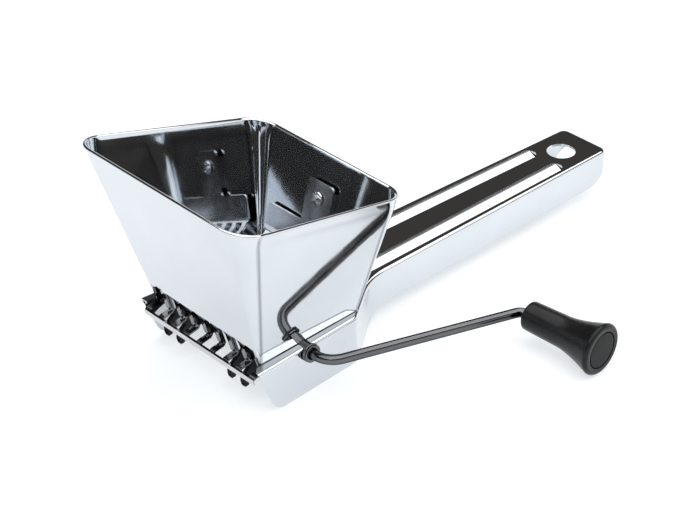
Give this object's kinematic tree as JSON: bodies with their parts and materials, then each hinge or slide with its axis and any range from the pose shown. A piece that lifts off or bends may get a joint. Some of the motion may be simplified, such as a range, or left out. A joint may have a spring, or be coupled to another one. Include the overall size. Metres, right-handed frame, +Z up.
{
  "type": "rotary herb mill",
  "caption": "Hand-cranked herb mill: tapered polished hopper on a pressed channel handle, clawed rotor below, bent wire crank with a flared black knob.",
  "frame": {"origin": "centre of the bounding box in X and Y, at the height of the cheeks' lower edges, on which the mill stands", "axes": "+X along the handle toward its free end, +Y away from the crank's side, +Z up through the hopper's mouth"},
  "size_m": [0.247, 0.1565, 0.0969],
  "materials": {
    "polished_sheet": "mirror-polished plated sheet",
    "comb_steel": "polished, slightly worn spring sheet",
    "wire_steel": "smooth dark-plated wire and turned parts",
    "cutter_steel": "dark stamped steel",
    "rivet_steel": "bright plated",
    "black_plastic": "satin-gloss moulded"
  },
  "bodies": {
    "frame": {"hopper": "polished_sheet", "handle_frame": "polished_sheet", "front_comb": "comb_steel", "back_comb": "comb_steel", "comb_rivet": "rivet_steel", "foot_rivet_crank_side": "rivet_steel", "foot_rivet_far_side": "rivet_steel", "axle_bush_far_side": "wire_steel", "axle_bush_crank_side": "wire_steel"},
    "rotor": {"crank_rod": "wire_steel", "crank_washer": "wire_steel", "axle_cap": "wire_steel", "claw_plate_1": "cutter_steel", "claw_plate_2": "cutter_steel", "claw_plate_3": "cutter_steel", "claw_plate_4": "cutter_steel", "claw_plate_5": "cutter_steel", "claw_plate_6": "cutter_steel", "claw_plate_7": "cutter_steel", "claw_plate_8": "cutter_steel", "claw_spacer_1": "cutter_steel", "claw_spacer_2": "cutter_steel", "claw_spacer_3": "cutter_steel", "claw_spacer_4": "cutter_steel", "claw_spacer_5": "cutter_steel", "claw_spacer_6": "cutter_steel", "claw_spacer_7": "cutter_steel", "knob_nut": "rivet_steel"},
    "knob": {"knob": "black_plastic", "knob_cap": "black_plastic"}
  },
  "joints": [
    {"name": "crank_spin", "type": "hinge", "parent": "frame", "child": "rotor", "pos_m": [-0.0779, 0.02841, 0.0193], "axis": [0, -1, 0], "continuous": true},
    {"name": "knob_spin", "type": "hinge", "parent": "rotor", "child": "knob", "pos_m": [0.0121, -0.03678, 0.01125], "axis": [0.0785, -0.9969, 0], "continuous": true}
  ]
}
